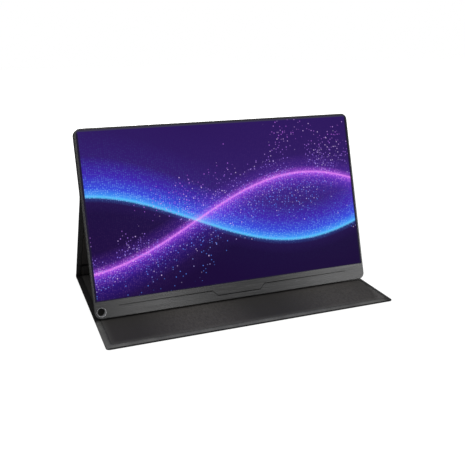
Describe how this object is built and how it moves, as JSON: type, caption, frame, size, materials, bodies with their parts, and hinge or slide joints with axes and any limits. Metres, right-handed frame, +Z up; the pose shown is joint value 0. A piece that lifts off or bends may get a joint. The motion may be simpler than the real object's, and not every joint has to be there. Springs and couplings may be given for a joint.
{
  "type": "portable monitor with cover",
  "caption": "Slim flat-panel monitor leaning in a folding leather cover: base panel, slanted prop and magnetic back panel.",
  "frame": {"origin": "middle of the footprint, on the surface that the cover lies on", "axes": "+X to the right of someone facing the screen, +Y to the rear, +Z up"},
  "size_m": [0.356, 0.2216, 0.2142],
  "materials": {
    "cover_leather": "fine-grained polyurethane leather, satin",
    "cover_lining": "smooth suede-touch lining, matt",
    "cover_board": "pressed fibre board",
    "magnet": "nickel-plated magnet or steel strip",
    "front_paint": "satin grey paint over moulded plastic",
    "shell_paint": "dark grey anodised",
    "bright_ring": "diamond-cut aluminium",
    "screen_face": null,
    "cell_glass": "liquid crystal cell",
    "diffuser_film": "white film and moulding",
    "acrylic_guide": "clear acrylic with printed dots",
    "tray_metal": "stamped sheet",
    "led_phosphor": "yellow phosphor",
    "circuit_board": "solder-masked glass epoxy",
    "flex_film": "polyimide film",
    "chip_epoxy": "black epoxy",
    "screw_steel": "plated steel",
    "socket_steel": "plated steel shell",
    "black_plastic": "moulded plastic",
    "lead_insulation": "insulated lead",
    "lens_plastic": "clear light pipe",
    "key_paint": "satin grey paint"
  },
  "bodies": {
    "base_cover": {"base_skin": "cover_leather", "base_board": "cover_board", "base_lining": "cover_lining", "base_magnets": "magnet", "spine_roll": "cover_leather"},
    "prop": {"prop_skin": "cover_leather", "spine_board": "cover_board", "prop_board": "cover_board", "prop_lining": "cover_lining", "middle_roll": "cover_leather"},
    "back_panel": {"back_skin": "cover_leather", "back_board": "cover_board", "back_lining": "cover_lining", "back_magnets": "magnet"},
    "monitor": {"front_frame": "front_paint", "pen_ring": "bright_ring", "screen_sheet": "screen_face", "lcd_cell": "cell_glass", "optical_films": "diffuser_film", "light_guide": "acrylic_guide", "reflector": "diffuser_film", "panel_frame": "diffuser_film", "led_strip": "led_phosphor", "panel_tray": "tray_metal", "timing_board": "circuit_board", "source_flexes": "flex_film", "driver_board": "circuit_board", "board_chips": "chip_epoxy", "board_screws": "screw_steel", "display_cable": "flex_film", "usb_sockets": "socket_steel", "video_socket": "socket_steel", "audio_socket": "black_plastic", "left_speaker": "black_plastic", "right_speaker": "black_plastic", "speaker_leads": "lead_insulation", "speaker_grilles": "shell_paint", "rear_shell": "shell_paint", "shell_magnets": "magnet", "key_board": "circuit_board", "key_switches": "chip_epoxy", "rocker_cradle": "screw_steel", "status_lens": "lens_plastic"},
    "power_key": {"power_key": "key_paint"},
    "menu_rocker": {"menu_rocker": "key_paint"}
  },
  "joints": [
    {"name": "spine_fold", "type": "hinge", "parent": "base_cover", "child": "prop", "pos_m": [0, 0.1093, 0.0015], "axis": [-1, 0, 0], "range_deg": [0, 126.22]},
    {"name": "middle_fold", "type": "hinge", "parent": "prop", "child": "back_panel", "pos_m": [0, 0.00971, 0.13749], "axis": [1, 0, 0], "range_deg": [0, 54.72]},
    {"name": "magnet_release", "type": "slide", "parent": "back_panel", "child": "monitor", "axis": [0, -0.9483, 0.3173], "range_m": [0, 0.03]},
    {"name": "power_press", "type": "slide", "parent": "monitor", "child": "power_key", "axis": [-1, 0, 0], "range_m": [0, 0.00035], "stiffness_N_per_m": 400, "springref_m": -0.002},
    {"name": "rocker_tilt", "type": "hinge", "parent": "monitor", "child": "menu_rocker", "pos_m": [0.1741, 0.00512, 0.13902], "axis": [0, 0.9483, -0.3173], "range_deg": [-3, 3], "stiffness_Nm_per_rad": 0.1}
  ],
  "couplings": [
    {"joint": "middle_fold", "follows": "spine_fold", "ratio": 0.43351}
  ]
}
